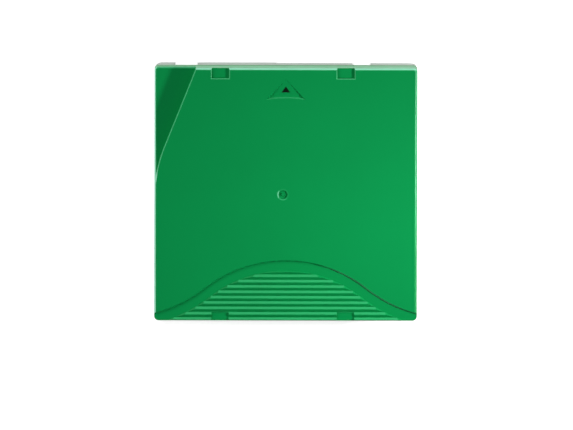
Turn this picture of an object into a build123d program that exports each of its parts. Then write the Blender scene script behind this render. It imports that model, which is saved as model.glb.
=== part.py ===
from build123d import *
import os
from math import atan2, cos, degrees, radians, sin, sqrt

os.makedirs("parts", exist_ok=True)

# A half-inch single-reel data tape cartridge. It lies on its bottom shell.
# X runs across the case, +Y is the end that enters the drive, +Z is up.
# Each fitting piece is placed from the piece that carries it.

# Tape and reel
tape_radius = 46.85
tape_width = 12.65
tape_edge_gap = 0.125
leader_thickness = 0.1
leader_gap = 0.1
hub_radius = 22.0
hub_wall = 1.8
flange_overhang = 1.45
lower_flange = 1.2
upper_flange_thickness = 1.0
flange_lip = 1.2
flange_lip_thickness = 1.0
weld_gap = 0.1
winding_gap = 0.02

# Case
wall = 2.0
bottom_plate = 1.7
top_plate = 2.0
foot_height = 0.8
reel_gap_ends = 0.7
reel_gap_left = 1.3
door_lane = 3.5
reel_gap_below = 0.3
reel_headroom = 1.1
lower_shell_height = 9.0
tongue_height = 0.8
tongue_thickness = 1.0
tongue_gap = 0.1
corner_rear = 1.8
corner_front_top = 1.5
corner_front_bottom = 2.6
top_edge_radius = 1.1
bottom_edge_radius = 0.6
rim_bevel = 0.35
reel_fence = 1.0
reel_fence_gap = 0.9
reel_fence_height = 6.5

# Hub opening in the bottom shell
opening_radius = 20.5
opening_rim = 2.0
opening_rim_rise = 0.5

# Hub web, driven gear and lock ring
web_thickness = 1.6
web_lift = 1.7
gear_teeth = 60
gear_face = 3.6
gear_wall_gap = 0.4
gear_base = 0.4
gear_tooth_height = 1.2
gear_tooth_width = 1.5
gear_tooth_tip = 0.4
lock_teeth = 36
lock_radius = 12.6
lock_face = 3.0
lock_ring_rise = 1.3
lock_tooth_height = 1.0
lock_tooth_width = 1.5
lock_tooth_tip = 0.16
lock_mesh_gap = 0.15
lock_ring_margin = 0.2

# Clutch plate
clutch_thickness = 1.0
clutch_inner_radius = 6.5
clutch_gap = 0.8
stake_radius = 1.1
stake_circle = 11.0
stake_gap = 0.1
stake_count = 3

# Release spider
spider_thickness = 1.0
spider_lift_gap = 0.15
spider_arm_width = 3.4
spider_arm_gap = 0.5
spider_center_radius = 4.5
spider_dome_radius = 2.2
spider_dome_gap = 0.3
spider_pin_radius = 1.9
spider_pin_gap = 0.2
spider_pin_length = 2.4
leg_count = 3
leg_radial = 2.6
leg_width = 3.0
leg_gap = 0.3
leg_above_tips = 0.3

# Brake button and its spring
brake_plate = 1.55
brake_rim_margin = 0.4
brake_boss_radius = 5.6
brake_boss_height = 5.4
brake_slot_floor = 0.6
brake_travel = 1.8
guide_rib_length = 8.4
guide_rib_thickness = 1.6
guide_rib_gap = 0.1
guide_rib_bottom_gap = 0.6
brake_spring_wire = 0.8
brake_spring_gap = 0.6
brake_spring_turns = 4
brake_spring_sides = 8
spring_seat_gap = 0.05
spring_ring_wall = 1.0
spring_ring_height = 1.0
spring_ring_gap = 0.3

# Access door in the right wall
door_wall = 1.2
door_thickness = 1.2
door_gap = 0.2
door_rail = 0.6
door_rail_height = 1.5
door_opening_length = 20.0
door_opening_from_front = 3.0
door_opening_below = 1.5
door_opening_above = 1.9
door_overlap = 1.4
door_end_gap = 0.4
door_tab_width = 1.6
door_tab_height = 3.0
door_tab_rise = 1.1
door_tab_inset = 0.8
door_tab_gap = 0.3
door_pad_length = 1.2
door_pad_height = 3.2
door_spring_length = 44.6
door_spring_radius = 1.2
door_spring_wire = 0.3
door_spring_turns = 18
door_spring_sides = 6
door_peg_radius = 0.7
door_peg_length = 1.5
spring_post = 1.2

# Leader pin
pin_from_front = 7.0
pin_radius = 1.2
pin_disc_radius = 2.9
pin_disc = 0.8
pin_collar_radius = 2.3
pin_collar = 0.5
pin_end_gap = 0.05
pin_seat_wall = 0.9
pin_seat_gap = 0.15
pin_seat_height = 1.8
clip_wall = 0.5
clip_gap = 0.02
clip_slot = 0.3
clip_edge_gap = 0.1
leaf_thickness = 0.25
leaf_height = 1.2
leaf_gap = 0.05
leaf_wrap = 40
leaf_bend = 0.6
leaf_foot = 2.4
leaf_slot = 0.5

# Write-protect switch in the rear wall
switch_window_width = 12.5
switch_window_height = 5.6
switch_window_from_right = 5.2
switch_window_sill = 4.5
switch_button_width = 6.6
switch_travel = 5.6
switch_gap = 0.15
switch_recess = 0.4
switch_plate = 1.0
switch_plate_margin = 1.2
switch_rail_gap = 0.1
switch_rail = 1.0
switch_rail_hold = 1.5
switch_ridge = 0.5

# Contactless memory in the left rear corner
board_width = 11.0
board_length = 11.8
board_thickness = 0.8
board_from_left = 1.2
board_foot_gap = 0.6
gusset_thickness = 1.2
gusset_inset = 1.0
board_stop = 1.0
antenna_width = 1.5
antenna_thickness = 0.1
antenna_margin = 0.5
chip_size = 2.8
chip_thickness = 0.7

# Case screws
screw_radius = 1.15
screw_hole_gap = 0.2
screw_pilot_gap = 0.05
screw_head_radius = 2.2
screw_head_height = 1.3
screw_head_gap = 0.3
screw_head_inset = 0.2
screw_length = 10.6
screw_drive_width = 0.7
screw_drive_length = 2.6
screw_drive_depth = 0.7
boss_wall = 1.5
pilot_depth_gap = 0.6

# Insertion guide recess, front left of the top shell
guide_depth = 5.0
guide_angle = 21.8
guide_radius = 51.4
guide_wall = 1.7
guide_fade = 5.6
guide_edge_radius = 0.8

# Pockets for the feet of a cartridge stacked above, and the feet
pocket_spacing = 50.3
pocket_width = 6.9
pocket_length_front = 4.1
pocket_length_rear = 3.4
pocket_depth = 1.0
foot_gap = 0.3

# Insertion arrow recess
arrow_apex_from_front = 4.3
arrow_length = 8.4
arrow_half_width = 7.8
arrow_bulge = 0.6
arrow_depth = 0.75
arrow_wall_angle = 35

# Rear grip
grip_mid_radius = 53.0
grip_side_radius = 53.0
grip_side_center = 66.0
grip_apex_from_rear = 24.5
grip_depth = 0.8
grip_slope = 0.5
rib_inset = 4.3
rib_pitch = 2.17
rib_count = 10
rib_first = 0.27
rib_width = 2.06
rib_height = 0.62
rib_flank_angle = 35

# Gate mark
gate_radius = 1.75
gate_depth = 0.4
gate_nub = 0.6

# Bottom shell front notches
deep_notch_from_left = 8.4
deep_notch_width = 8.8
deep_notch_depth = 2.6
deep_notch_wall = 1.6
small_notch_from_right = 18.9
small_notch_width = 7.0
small_notch_depth = 1.0
front_step_from_left = 48.7
front_step = 0.25

# Label recess and gripper notches
label_width = 73.0
label_from_left = 7.7
label_depth = 0.4
label_margin = 2.2
side_notch_width = 6.0
side_notch_depth = 1.0
side_notch_height = 5.0
side_notch_from_rear = 12.0
side_notch_sill = 1.5

# Levels above the surface that the cartridge lies on
floor_z = foot_height + bottom_plate
rim_z = floor_z + opening_rim_rise
flange_z = rim_z + reel_gap_below
tape_floor_z = flange_z + lower_flange
tape_z = tape_floor_z + tape_edge_gap
top_flange_z = tape_z + tape_width + tape_edge_gap
ceiling_z = top_flange_z + upper_flange_thickness + reel_headroom
case_height = ceiling_z + top_plate
parting_z = foot_height + lower_shell_height
middle_z = tape_z + tape_width / 2
web_z = flange_z + web_lift
web_top_z = web_z + web_thickness
gear_root_z = web_z - gear_base
gear_tip_z = gear_root_z - gear_tooth_height
lock_ring_z = web_top_z + lock_ring_rise
brake_z = lock_ring_z + lock_tooth_height + lock_mesh_gap
brake_top_z = brake_z + brake_plate
boss_top_z = brake_top_z + brake_boss_height
slot_floor_z = brake_top_z + brake_slot_floor
guide_rib_z = slot_floor_z + brake_travel + guide_rib_bottom_gap
spider_z = web_top_z + spider_lift_gap
spider_top_z = spider_z + spider_thickness
leg_tip_z = gear_tip_z + leg_above_tips
guide_floor_z = case_height - guide_depth
grip_floor_z = case_height - grip_depth

# Plan of the case, worked out from the reel
flange_radius = tape_radius + flange_overhang
inner_left = flange_radius + reel_gap_left
inner_right = flange_radius + door_lane
reel_x = (inner_left - inner_right) / 2
inner_x = (inner_left + inner_right) / 2
inner_y = flange_radius + reel_gap_ends
half_x = inner_x + wall
half_y = inner_y + wall
hub_bore = hub_radius - hub_wall
gear_outer = hub_bore - gear_wall_gap
gear_inner = gear_outer - gear_face
gear_mid = gear_outer - gear_face / 2
lock_inner = lock_radius - lock_face
hub_axis = Axis((reel_x, 0, 0), (0, 0, 1))
hub_section = Plane(origin=(reel_x, 0, 0), x_dir=(1, 0, 0), z_dir=(0, -1, 0))

# Door lane, from the outside of the right wall inwards
lane_x = half_x - door_wall
door_outer_x = lane_x - door_gap
door_inner_x = door_outer_x - door_thickness
rail_x = door_inner_x - door_gap
opening_front_y = inner_y - door_opening_from_front
opening_rear_y = opening_front_y - door_opening_length
door_front_y = opening_front_y + door_overlap
door_rear_y = opening_rear_y - door_overlap
door_travel = door_opening_length + door_overlap
lane_front_y = door_front_y + door_end_gap
spring_post_y = door_rear_y - door_spring_length
door_spring_x = lane_x - door_gap - door_spring_radius
tab_front_y = opening_front_y - door_tab_inset

# Leader pin in line with the free run of tape
pin_x = reel_x + tape_radius + leader_gap + leader_thickness / 2
pin_y = inner_y - pin_from_front
leaf_x = pin_x + pin_disc_radius + leaf_gap + leaf_thickness / 2

# Write-protect switch
window_right = inner_x - switch_window_from_right
window_left = window_right - switch_window_width
window_z = floor_z + switch_window_sill
window_top_z = window_z + switch_window_height
switch_x = window_left + switch_gap
switch_plate_y = -inner_y + switch_rail_gap
switch_rail_y = switch_plate_y + switch_plate + switch_rail_gap
switch_low_z = window_z - switch_plate_margin
switch_high_z = window_top_z + switch_plate_margin

# Screws, by their distance from the inner walls
boss_radius = screw_radius + boss_wall
screw_front_left = (-inner_x + 6.7, inner_y - deep_notch_wall - boss_radius - 0.7)
screw_front_right = (inner_x - 13.2, inner_y - boss_radius + 0.2)
screw_rear_right = (inner_x - boss_radius + 0.2, -inner_y + 13.0)
screw_rear_left = (-inner_x + boss_radius - 0.2, -inner_y + 18.0)
screw_places = [screw_front_left, screw_front_right, screw_rear_right, screw_rear_left]
screw_head_z = foot_height + screw_head_inset
screw_shank_z = screw_head_z + screw_head_height
screw_tip_z = screw_shank_z + screw_length
boss_outer = screw_head_radius + screw_head_gap + 0.8

# Memory board, leaning at 45 degrees between the floor and the rear wall
board_left = -inner_x + board_from_left
board_x = board_left + board_width / 2
board_drop = board_length / sqrt(2)
board_low_z = floor_z + board_foot_gap
board_low_y = -inner_y + board_foot_gap + board_drop


def hub_level(z):
    """The plane across the reel's axis at height z"""
    return Plane(origin=(reel_x, 0, z))


def span(x, y, z, mode=Mode.ADD):
    """A block given by its limits along each axis"""
    with Locations(((x[0] + x[1]) / 2, (y[0] + y[1]) / 2, (z[0] + z[1]) / 2)):
        Box(x[1] - x[0], y[1] - y[0], z[1] - z[0], mode=mode)


def outline(inset, front_radius, rear_radius):
    """The case's outline seen from above, moved inwards by inset"""
    with BuildSketch() as shape:
        Rectangle(2 * (half_x - inset), 2 * (half_y - inset))
        fillet(shape.vertices().group_by(Axis.Y)[-1], front_radius)
        fillet(shape.vertices().group_by(Axis.Y)[0], rear_radius)
    return shape.sketch


def guide_region(inset):
    """The insertion guide recess: a tangent line and an arc about the reel"""
    radius = guide_radius - inset
    turn = radians(guide_angle)
    tangent_x = reel_x - radius * cos(turn)
    tangent_y = radius * sin(turn)
    reach = 1.5 * half_y
    with BuildSketch() as shape:
        with BuildLine():
            arc = CenterArc((reel_x, 0), radius, 180 - guide_angle, guide_angle)
            front = (tangent_x + reach * sin(turn), tangent_y + reach * cos(turn))
            fade = (-half_x + inset - 0.02, -guide_fade)
            Polyline(arc @ 1, fade, (-half_x - 8, -guide_fade), (-half_x - 8, front[1]), front, arc @ 0)
        make_face()
    return shape.sketch


def grip_region(inset):
    """The rear grip: a convex middle arc running into two concave side arcs"""
    mid_y = -half_y + grip_apex_from_rear - grip_mid_radius
    reach = grip_mid_radius + grip_side_radius
    side_y = mid_y + sqrt(reach**2 - grip_side_center**2)
    lean = degrees(atan2(side_y - mid_y, grip_side_center))
    mid_r = grip_mid_radius - inset
    side_r = grip_side_radius + inset
    low_y = -half_y - 12
    with BuildSketch() as shape:
        with BuildLine():
            CenterArc((0, mid_y), mid_r, lean, 180 - 2 * lean)
            right = CenterArc((grip_side_center, side_y), side_r, 180 + lean, 90 - lean)
            left = CenterArc((-grip_side_center, side_y), side_r, 270, 90 - lean)
            Polyline(
                right @ 1,
                (grip_side_center, low_y),
                (-grip_side_center, low_y),
                left @ 0,
            )
        make_face()
    return shape.sketch


def corner_fence(corners):
    """Arc ribs that keep the reel in place, in the given corners of the case"""
    reach = flange_radius + reel_fence_gap
    start = reach / 3.5
    with BuildSketch() as shape:
        for side_x, side_y in corners:
            with Locations((side_x * (inner_x + start) / 2, side_y * (inner_y + start) / 2)):
                Rectangle(inner_x - start + 0.4, inner_y - start + 0.4)
        with Locations((reel_x, 0)):
            Circle(reach + reel_fence, mode=Mode.INTERSECT)
            Circle(reach, mode=Mode.SUBTRACT)
    return shape.sketch


lower_outline = outline(0, corner_front_bottom, corner_rear)
upper_outline = outline(0, corner_front_top, corner_rear)
cavity_outline = outline(wall, corner_front_bottom - wall, 1.0)
tongue_outline = outline(wall - tongue_thickness, corner_front_bottom - wall + tongue_thickness, 1.2)
groove_outline = outline(
    wall - tongue_thickness - tongue_gap, corner_front_bottom - wall + tongue_thickness, 1.2
)
pocket_places = [reel_x - pocket_spacing / 2, reel_x + pocket_spacing / 2]


# Bottom shell: floor with the raised hub opening, walls, tongue and feet
with BuildPart() as bottom_shell:
    with BuildSketch(Plane.XY.offset(foot_height)):
        add(lower_outline)
    extrude(amount=parting_z - foot_height)
    fillet(bottom_shell.faces().sort_by(Axis.Z)[0].edges(), bottom_edge_radius)
    with BuildSketch(Plane.XY.offset(floor_z)):
        add(cavity_outline)
    extrude(amount=parting_z - floor_z, mode=Mode.SUBTRACT)

    # The tongue that the top shell's groove takes
    with BuildSketch(Plane.XY.offset(parting_z)):
        add(tongue_outline)
        add(cavity_outline, mode=Mode.SUBTRACT)
    extrude(amount=tongue_height)

    # Ribs round the reel, and the wall behind the deep front notch
    with BuildSketch(Plane.XY.offset(floor_z)):
        add(corner_fence([(-1, -1), (1, -1), (-1, 1)]))
    extrude(amount=reel_fence_height)
    notch_left = -half_x + deep_notch_from_left
    notch_right = notch_left + deep_notch_width
    notch_y = half_y - deep_notch_depth
    span(
        (notch_left - deep_notch_wall, notch_right + deep_notch_wall),
        (notch_y - deep_notch_wall, inner_y),
        (floor_z, parting_z),
    )

    # Screw bosses, standing up to the parting line
    with BuildSketch(Plane.XY.offset(floor_z)):
        with Locations(*screw_places):
            Circle(boss_outer)
    extrude(amount=parting_z - floor_z)

    # Rim round the hub opening
    with BuildSketch(Plane.XY.offset(foot_height)):
        with Locations((reel_x, 0)):
            Circle(opening_radius + opening_rim)
    extrude(amount=rim_z - foot_height)
    with BuildSketch(Plane.XY.offset(foot_height)):
        with Locations((reel_x, 0)):
            Circle(opening_radius)
    extrude(amount=rim_z - foot_height, mode=Mode.SUBTRACT)

    # Seat of the leader pin, open towards the door, and the leaf spring's post
    seat_outer = pin_disc_radius + pin_seat_gap + pin_seat_wall
    with BuildSketch(Plane.XY.offset(floor_z)):
        with Locations((pin_x, pin_y)):
            Circle(seat_outer)
            Rectangle(pin_disc_radius, 2 * seat_outer, align=(Align.MIN, Align.CENTER))
            Circle(seat_outer - pin_seat_wall, mode=Mode.SUBTRACT)
            Rectangle(
                2 * seat_outer, 2 * (seat_outer - pin_seat_wall),
                align=(Align.MIN, Align.CENTER), mode=Mode.SUBTRACT,
            )
        with Locations((leaf_x - leaf_foot / 2 - leaf_bend / 2, inner_y - leaf_slot - 0.6)):
            Rectangle(leaf_foot - leaf_bend, 1.2)
    extrude(amount=pin_seat_height)

    # Ledge of the write-protect switch with its lip
    switch_span = (window_left - switch_plate_margin, inner_x)
    span(switch_span, (-inner_y, switch_rail_y + switch_rail), (floor_z, switch_low_z - switch_rail_gap))
    span(
        switch_span,
        (switch_rail_y, switch_rail_y + switch_rail),
        (floor_z, switch_low_z + switch_rail_hold),
    )

    # Gussets that lean the memory board at 45 degrees, and its stop
    for gusset_x in (board_left + gusset_inset, board_left + board_width - gusset_inset - gusset_thickness):
        with BuildSketch(Plane.YZ.offset(gusset_x)):
            with BuildLine():
                Polyline(
                    (-inner_y, floor_z),
                    (board_low_y + board_foot_gap, floor_z),
                    (-inner_y, floor_z + board_drop + 2 * board_foot_gap),
                    close=True,
                )
            make_face()
        extrude(amount=gusset_thickness)
        span(
            (gusset_x, gusset_x + gusset_thickness),
            (
                board_low_y + board_thickness / sqrt(2) + board_foot_gap / 2,
                board_low_y + board_thickness / sqrt(2) + board_foot_gap / 2 + board_stop,
            ),
            (floor_z, board_low_z + 2 * board_thickness),
        )

    # Door lane in the right wall, and the tongue cleared beside it
    span(
        (inner_x - 0.1, lane_x),
        (spring_post_y, lane_front_y),
        (floor_z, parting_z + tongue_height),
        mode=Mode.SUBTRACT,
    )
    span(
        (inner_x - 0.1, half_x - tongue_thickness + tongue_gap),
        (spring_post_y - spring_post, lane_front_y + door_end_gap),
        (parting_z, parting_z + tongue_height),
        mode=Mode.SUBTRACT,
    )

    # Lower rail of the door lane and the post that carries the door spring
    span((rail_x - door_rail, rail_x), (spring_post_y, lane_front_y), (floor_z, floor_z + door_rail_height))
    span(
        (door_spring_x - door_spring_radius, lane_x - tongue_gap),
        (spring_post_y - spring_post, spring_post_y),
        (floor_z, middle_z + door_pad_height / 2),
    )
    with Locations(Plane(origin=(door_spring_x, spring_post_y, middle_z), z_dir=(0, 1, 0))):
        Cylinder(door_peg_radius, door_peg_length, align=(Align.CENTER, Align.CENTER, Align.MIN))

    # Door opening
    span(
        (lane_x - 0.1, half_x + 1),
        (opening_rear_y, opening_front_y),
        (floor_z + door_opening_below, case_height),
        mode=Mode.SUBTRACT,
    )

    # Window of the write-protect switch
    span(
        (window_left, window_right),
        (-half_y - 1, -inner_y + 0.1),
        (window_z, window_top_z),
        mode=Mode.SUBTRACT,
    )

    # Front notches and the slight step in the front face
    span((notch_left, notch_right), (notch_y, half_y + 1), (0, case_height), mode=Mode.SUBTRACT)
    small_notch_right = half_x - small_notch_from_right
    span(
        (small_notch_right - small_notch_width, small_notch_right),
        (half_y - small_notch_depth, half_y + 1),
        (0, case_height),
        mode=Mode.SUBTRACT,
    )
    span(
        (-half_x + front_step_from_left, half_x),
        (half_y - front_step, half_y + 1),
        (0, parting_z),
        mode=Mode.SUBTRACT,
    )

    # Label recess in the rear wall
    span(
        (-half_x + label_from_left, -half_x + label_from_left + label_width),
        (-half_y - 1, -half_y + label_depth),
        (foot_height + label_margin, case_height),
        mode=Mode.SUBTRACT,
    )

    # Gripper notches low in both sides
    for side in (-1, 1):
        span(
            tuple(sorted((side * (half_x - side_notch_depth), side * (half_x + 1)))),
            (-half_y + side_notch_from_rear, -half_y + side_notch_from_rear + side_notch_width),
            (foot_height + side_notch_sill, foot_height + side_notch_sill + side_notch_height),
            mode=Mode.SUBTRACT,
        )

    # Counterbored screw holes
    with BuildSketch(Plane.XY.offset(foot_height)):
        with Locations(*screw_places):
            Circle(screw_head_radius + screw_head_gap)
    extrude(amount=screw_head_inset + screw_head_height, mode=Mode.SUBTRACT)
    with BuildSketch(Plane.XY.offset(foot_height)):
        with Locations(*screw_places):
            Circle(screw_radius + screw_hole_gap)
    extrude(amount=parting_z - foot_height, mode=Mode.SUBTRACT)

    # Feet under the four pockets of the top shell
    foot_width = pocket_width - 2 * foot_gap
    for foot_x in pocket_places:
        front_length = pocket_length_front - 2 * foot_gap
        rear_length = pocket_length_rear - 2 * foot_gap
        span(
            (foot_x - foot_width / 2, foot_x + foot_width / 2),
            (half_y - pocket_length_front + foot_gap, half_y - pocket_length_front + foot_gap + front_length
             - bottom_edge_radius),
            (0, foot_height + 0.1),
        )
        span(
            (foot_x - foot_width / 2, foot_x + foot_width / 2),
            (-half_y + pocket_length_rear - foot_gap - rear_length + bottom_edge_radius,
             -half_y + pocket_length_rear - foot_gap),
            (0, foot_height + 0.1),
        )
bottom_shell.part.label = "bottom_shell"


# Ribs of the rear grip: trapezoids across the case, ramped at their ends
with BuildPart() as grip_ribs:
    with BuildSketch(Plane.XY.offset(grip_floor_z)):
        add(grip_region(rib_inset))
    extrude(amount=rib_height)
    chamfer(
        grip_ribs.edges().filter_by(GeomType.CIRCLE).group_by(Axis.Z)[-1],
        rib_height - 0.04,
    )
    with BuildSketch(Plane.YZ):
        rows = [(-half_y + rib_first + rib_pitch * k, grip_floor_z) for k in range(rib_count)]
        with Locations(*rows):
            Trapezoid(rib_width, rib_height + 0.01, rib_flank_angle, align=(Align.CENTER, Align.MIN))
    extrude(amount=half_x, both=True, mode=Mode.INTERSECT)

# What the grip takes away from the top face, with a sloping edge
with BuildPart() as grip_cut:
    with BuildSketch(Plane.XY.offset(grip_floor_z)):
        add(grip_region(0))
    extrude(amount=2 * grip_depth)
    chamfer(grip_cut.edges().filter_by(GeomType.CIRCLE).group_by(Axis.Z)[0], grip_slope)
    add(grip_ribs.part, mode=Mode.SUBTRACT)

# What the guide recess takes away, above a floor with a rounded outer edge
with BuildPart() as guide_floor:
    with BuildSketch(Plane.XY.offset(guide_floor_z - guide_wall)):
        add(upper_outline)
    extrude(amount=guide_wall)
    fillet(guide_floor.faces().sort_by(Axis.Z)[-1].edges(), guide_edge_radius)
with BuildPart() as guide_cut:
    with BuildSketch(Plane.XY.offset(guide_floor_z - guide_edge_radius - 0.1)):
        add(guide_region(0))
    extrude(amount=guide_depth + guide_edge_radius + 1)
    with BuildSketch(Plane.XY.offset(case_height - rim_bevel)):
        add(guide_region(0))
    with BuildSketch(Plane.XY.offset(case_height + rim_bevel)):
        add(guide_region(2 * rim_bevel))
    loft()
    add(guide_floor.part, mode=Mode.SUBTRACT)

# What the arrow takes away: an arrowhead whose floor slopes down from the tip
with BuildPart() as arrow_cut:
    apex_y = half_y - arrow_apex_from_front
    base_y = apex_y - arrow_length
    with BuildSketch(Plane.XY.offset(case_height)):
        with BuildLine():
            base = ThreePointArc(
                (-arrow_half_width, base_y), (0, base_y + arrow_bulge), (arrow_half_width, base_y)
            )
            Polyline(base @ 1, (0, apex_y), base @ 0)
        make_face()
    extrude(amount=-2 * arrow_depth, taper=arrow_wall_angle)
    with BuildSketch(Plane.YZ):
        with BuildLine():
            Polyline(
                (apex_y, case_height),
                (base_y, case_height - arrow_depth),
                (base_y - 1, case_height - arrow_depth),
                (base_y - 1, case_height + arrow_depth),
                (apex_y, case_height + arrow_depth),
                close=True,
            )
        make_face()
    extrude(amount=2 * arrow_half_width, both=True, mode=Mode.INTERSECT)


# Top shell: a deep tray turned over, with all that shows from above
with BuildPart() as top_shell:
    with BuildSketch(Plane.XY.offset(parting_z)):
        add(upper_outline)
    extrude(amount=case_height - parting_z)
    fillet(top_shell.faces().sort_by(Axis.Z)[-1].edges(), top_edge_radius)
    with BuildSketch(Plane.XY.offset(parting_z)):
        add(cavity_outline)
    extrude(amount=ceiling_z - parting_z, mode=Mode.SUBTRACT)

    # Lowered ceiling under the insertion guide recess
    with BuildSketch(Plane.XY.offset(guide_floor_z - guide_wall)):
        add(cavity_outline)
        add(guide_region(guide_wall), mode=Mode.INTERSECT)
    extrude(amount=ceiling_z - guide_floor_z + guide_wall)

    # Ribs round the reel and the screw bosses
    with BuildSketch(Plane.XY.offset(ceiling_z)):
        add(corner_fence([(-1, -1), (1, -1), (-1, 1)]))
    extrude(amount=-reel_fence_height)
    with BuildSketch(Plane.XY.offset(parting_z)):
        with Locations(*screw_places):
            Circle(boss_radius)
    extrude(amount=guide_floor_z - guide_wall - parting_z)
    with BuildSketch(Plane.XY.offset(parting_z)):
        with Locations(*screw_places[1:]):
            Circle(boss_radius)
    extrude(amount=ceiling_z - parting_z)
    with BuildSketch(Plane.XY.offset(parting_z)):
        with Locations(*screw_places):
            Circle(screw_radius + screw_pilot_gap)
    extrude(amount=screw_tip_z + pilot_depth_gap - parting_z, mode=Mode.SUBTRACT)

    # Cross rib that keys the brake button, and the ring that seats its spring
    with BuildSketch(Plane.XY.offset(guide_rib_z)):
        with Locations((reel_x, 0)):
            Rectangle(guide_rib_length, guide_rib_thickness)
            Rectangle(guide_rib_thickness, guide_rib_length)
    extrude(amount=ceiling_z - guide_rib_z)
    spring_ring = brake_boss_radius + brake_spring_gap + brake_spring_wire + spring_ring_gap
    with BuildSketch(Plane.XY.offset(ceiling_z)):
        with Locations((reel_x, 0)):
            Circle(spring_ring + spring_ring_wall)
            Circle(spring_ring, mode=Mode.SUBTRACT)
    extrude(amount=-spring_ring_height)

    # Upper rail of the door lane
    span((rail_x - door_rail, rail_x), (spring_post_y, lane_front_y), (ceiling_z - door_rail_height, ceiling_z))

    # Upper seat of the leader pin and the post of its leaf spring
    with BuildSketch(Plane.XY.offset(ceiling_z - pin_seat_height)):
        with Locations((pin_x, pin_y)):
            Circle(seat_outer)
            Rectangle(pin_disc_radius, 2 * seat_outer, align=(Align.MIN, Align.CENTER))
            Circle(seat_outer - pin_seat_wall, mode=Mode.SUBTRACT)
            Rectangle(
                2 * seat_outer, 2 * (seat_outer - pin_seat_wall),
                align=(Align.MIN, Align.CENTER), mode=Mode.SUBTRACT,
            )
        with Locations((leaf_x - leaf_foot / 2 - leaf_bend / 2, inner_y - leaf_slot - 0.6)):
            Rectangle(leaf_foot - leaf_bend, 1.2)
    extrude(amount=pin_seat_height)

    # Upper rail of the write-protect switch with its lip
    span(switch_span, (-inner_y, switch_rail_y + switch_rail), (switch_high_z + switch_rail_gap, ceiling_z))
    span(
        switch_span,
        (switch_rail_y, switch_rail_y + switch_rail),
        (switch_high_z - switch_rail_hold, ceiling_z),
    )

    # Groove for the bottom shell's tongue
    with BuildSketch(Plane.XY.offset(parting_z)):
        add(groove_outline)
        add(cavity_outline, mode=Mode.SUBTRACT)
    extrude(amount=tongue_height + tongue_gap, mode=Mode.SUBTRACT)

    # Door lane, door opening and switch window
    span(
        (inner_x - 0.1, lane_x),
        (spring_post_y - spring_post - tongue_gap, lane_front_y),
        (parting_z, ceiling_z),
        mode=Mode.SUBTRACT,
    )
    span(
        (inner_x - 0.1, half_x + 1),
        (opening_rear_y, opening_front_y),
        (foot_height, ceiling_z - door_opening_above),
        mode=Mode.SUBTRACT,
    )
    span(
        (lane_x - 0.1, half_x + 1),
        (tab_front_y - door_travel - door_tab_width - door_tab_gap, opening_rear_y + 0.1),
        (middle_z - door_tab_height / 2 - door_tab_gap, middle_z + door_tab_height / 2 + door_tab_gap),
        mode=Mode.SUBTRACT,
    )
    span(
        (window_left, window_right),
        (-half_y - 1, -inner_y + 0.1),
        (window_z, window_top_z),
        mode=Mode.SUBTRACT,
    )

    # Label recess
    span(
        (-half_x + label_from_left, -half_x + label_from_left + label_width),
        (-half_y - 1, -half_y + label_depth),
        (foot_height, case_height - label_margin - grip_depth),
        mode=Mode.SUBTRACT,
    )

    # Insertion guide recess, rear grip and arrow
    add(guide_cut.part, mode=Mode.SUBTRACT)
    add(grip_cut.part, mode=Mode.SUBTRACT)
    add(arrow_cut.part, mode=Mode.SUBTRACT)

    # Pockets in the front and rear edges, bevelled round the rim
    for pocket_x in pocket_places:
        span(
            (pocket_x - pocket_width / 2, pocket_x + pocket_width / 2),
            (half_y - pocket_length_front, half_y + 1),
            (case_height - pocket_depth, case_height + 1),
            mode=Mode.SUBTRACT,
        )
        span(
            (pocket_x - pocket_width / 2, pocket_x + pocket_width / 2),
            (-half_y - 1, -half_y + pocket_length_rear),
            (case_height - pocket_depth, case_height + 1),
            mode=Mode.SUBTRACT,
        )
        with BuildSketch(Plane.XY.offset(case_height - rim_bevel)):
            with Locations((pocket_x, half_y - pocket_length_front)):
                Rectangle(pocket_width, pocket_length_front + 2, align=(Align.CENTER, Align.MIN))
            with Locations((pocket_x, -half_y + pocket_length_rear)):
                Rectangle(pocket_width, pocket_length_rear + 2, align=(Align.CENTER, Align.MAX))
        extrude(amount=2 * rim_bevel, taper=-45, mode=Mode.SUBTRACT)

    # Gate mark over the hub
    with BuildSketch(Plane.XY.offset(case_height - gate_depth)):
        with Locations((reel_x, 0)):
            Circle(gate_radius)
            Circle(gate_nub, mode=Mode.SUBTRACT)
    extrude(amount=2 * gate_depth, mode=Mode.SUBTRACT)
top_shell.part.label = "top_shell"


# The slot for the door's tab reaches a little into the bottom shell
with BuildPart() as tab_slot:
    span(
        (lane_x - 0.1, half_x + 1),
        (tab_front_y - door_travel - door_tab_width - door_tab_gap, opening_rear_y + 0.1),
        (middle_z - door_tab_height / 2 - door_tab_gap, middle_z + door_tab_height / 2 + door_tab_gap),
    )
with bottom_shell:
    add(tab_slot.part, mode=Mode.SUBTRACT)
bottom_shell.part.label = "bottom_shell"


# Case screws: pan heads with a cross drive, driven up from below
with BuildPart() as case_screws:
    with BuildSketch(Plane.XY.offset(screw_head_z)):
        with Locations(*screw_places):
            Circle(screw_head_radius)
    extrude(amount=screw_head_height)
    with BuildSketch(Plane.XY.offset(screw_shank_z)):
        with Locations(*screw_places):
            Circle(screw_radius)
    extrude(amount=screw_length)
    chamfer(case_screws.edges().group_by(Axis.Z)[0], 0.3)
    with BuildSketch(Plane.XY.offset(screw_head_z)):
        with Locations(*screw_places):
            Rectangle(screw_drive_length, screw_drive_width)
            Rectangle(screw_drive_width, screw_drive_length)
    extrude(amount=screw_drive_depth, mode=Mode.SUBTRACT)
case_screws.part.label = "case_screws"


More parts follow.
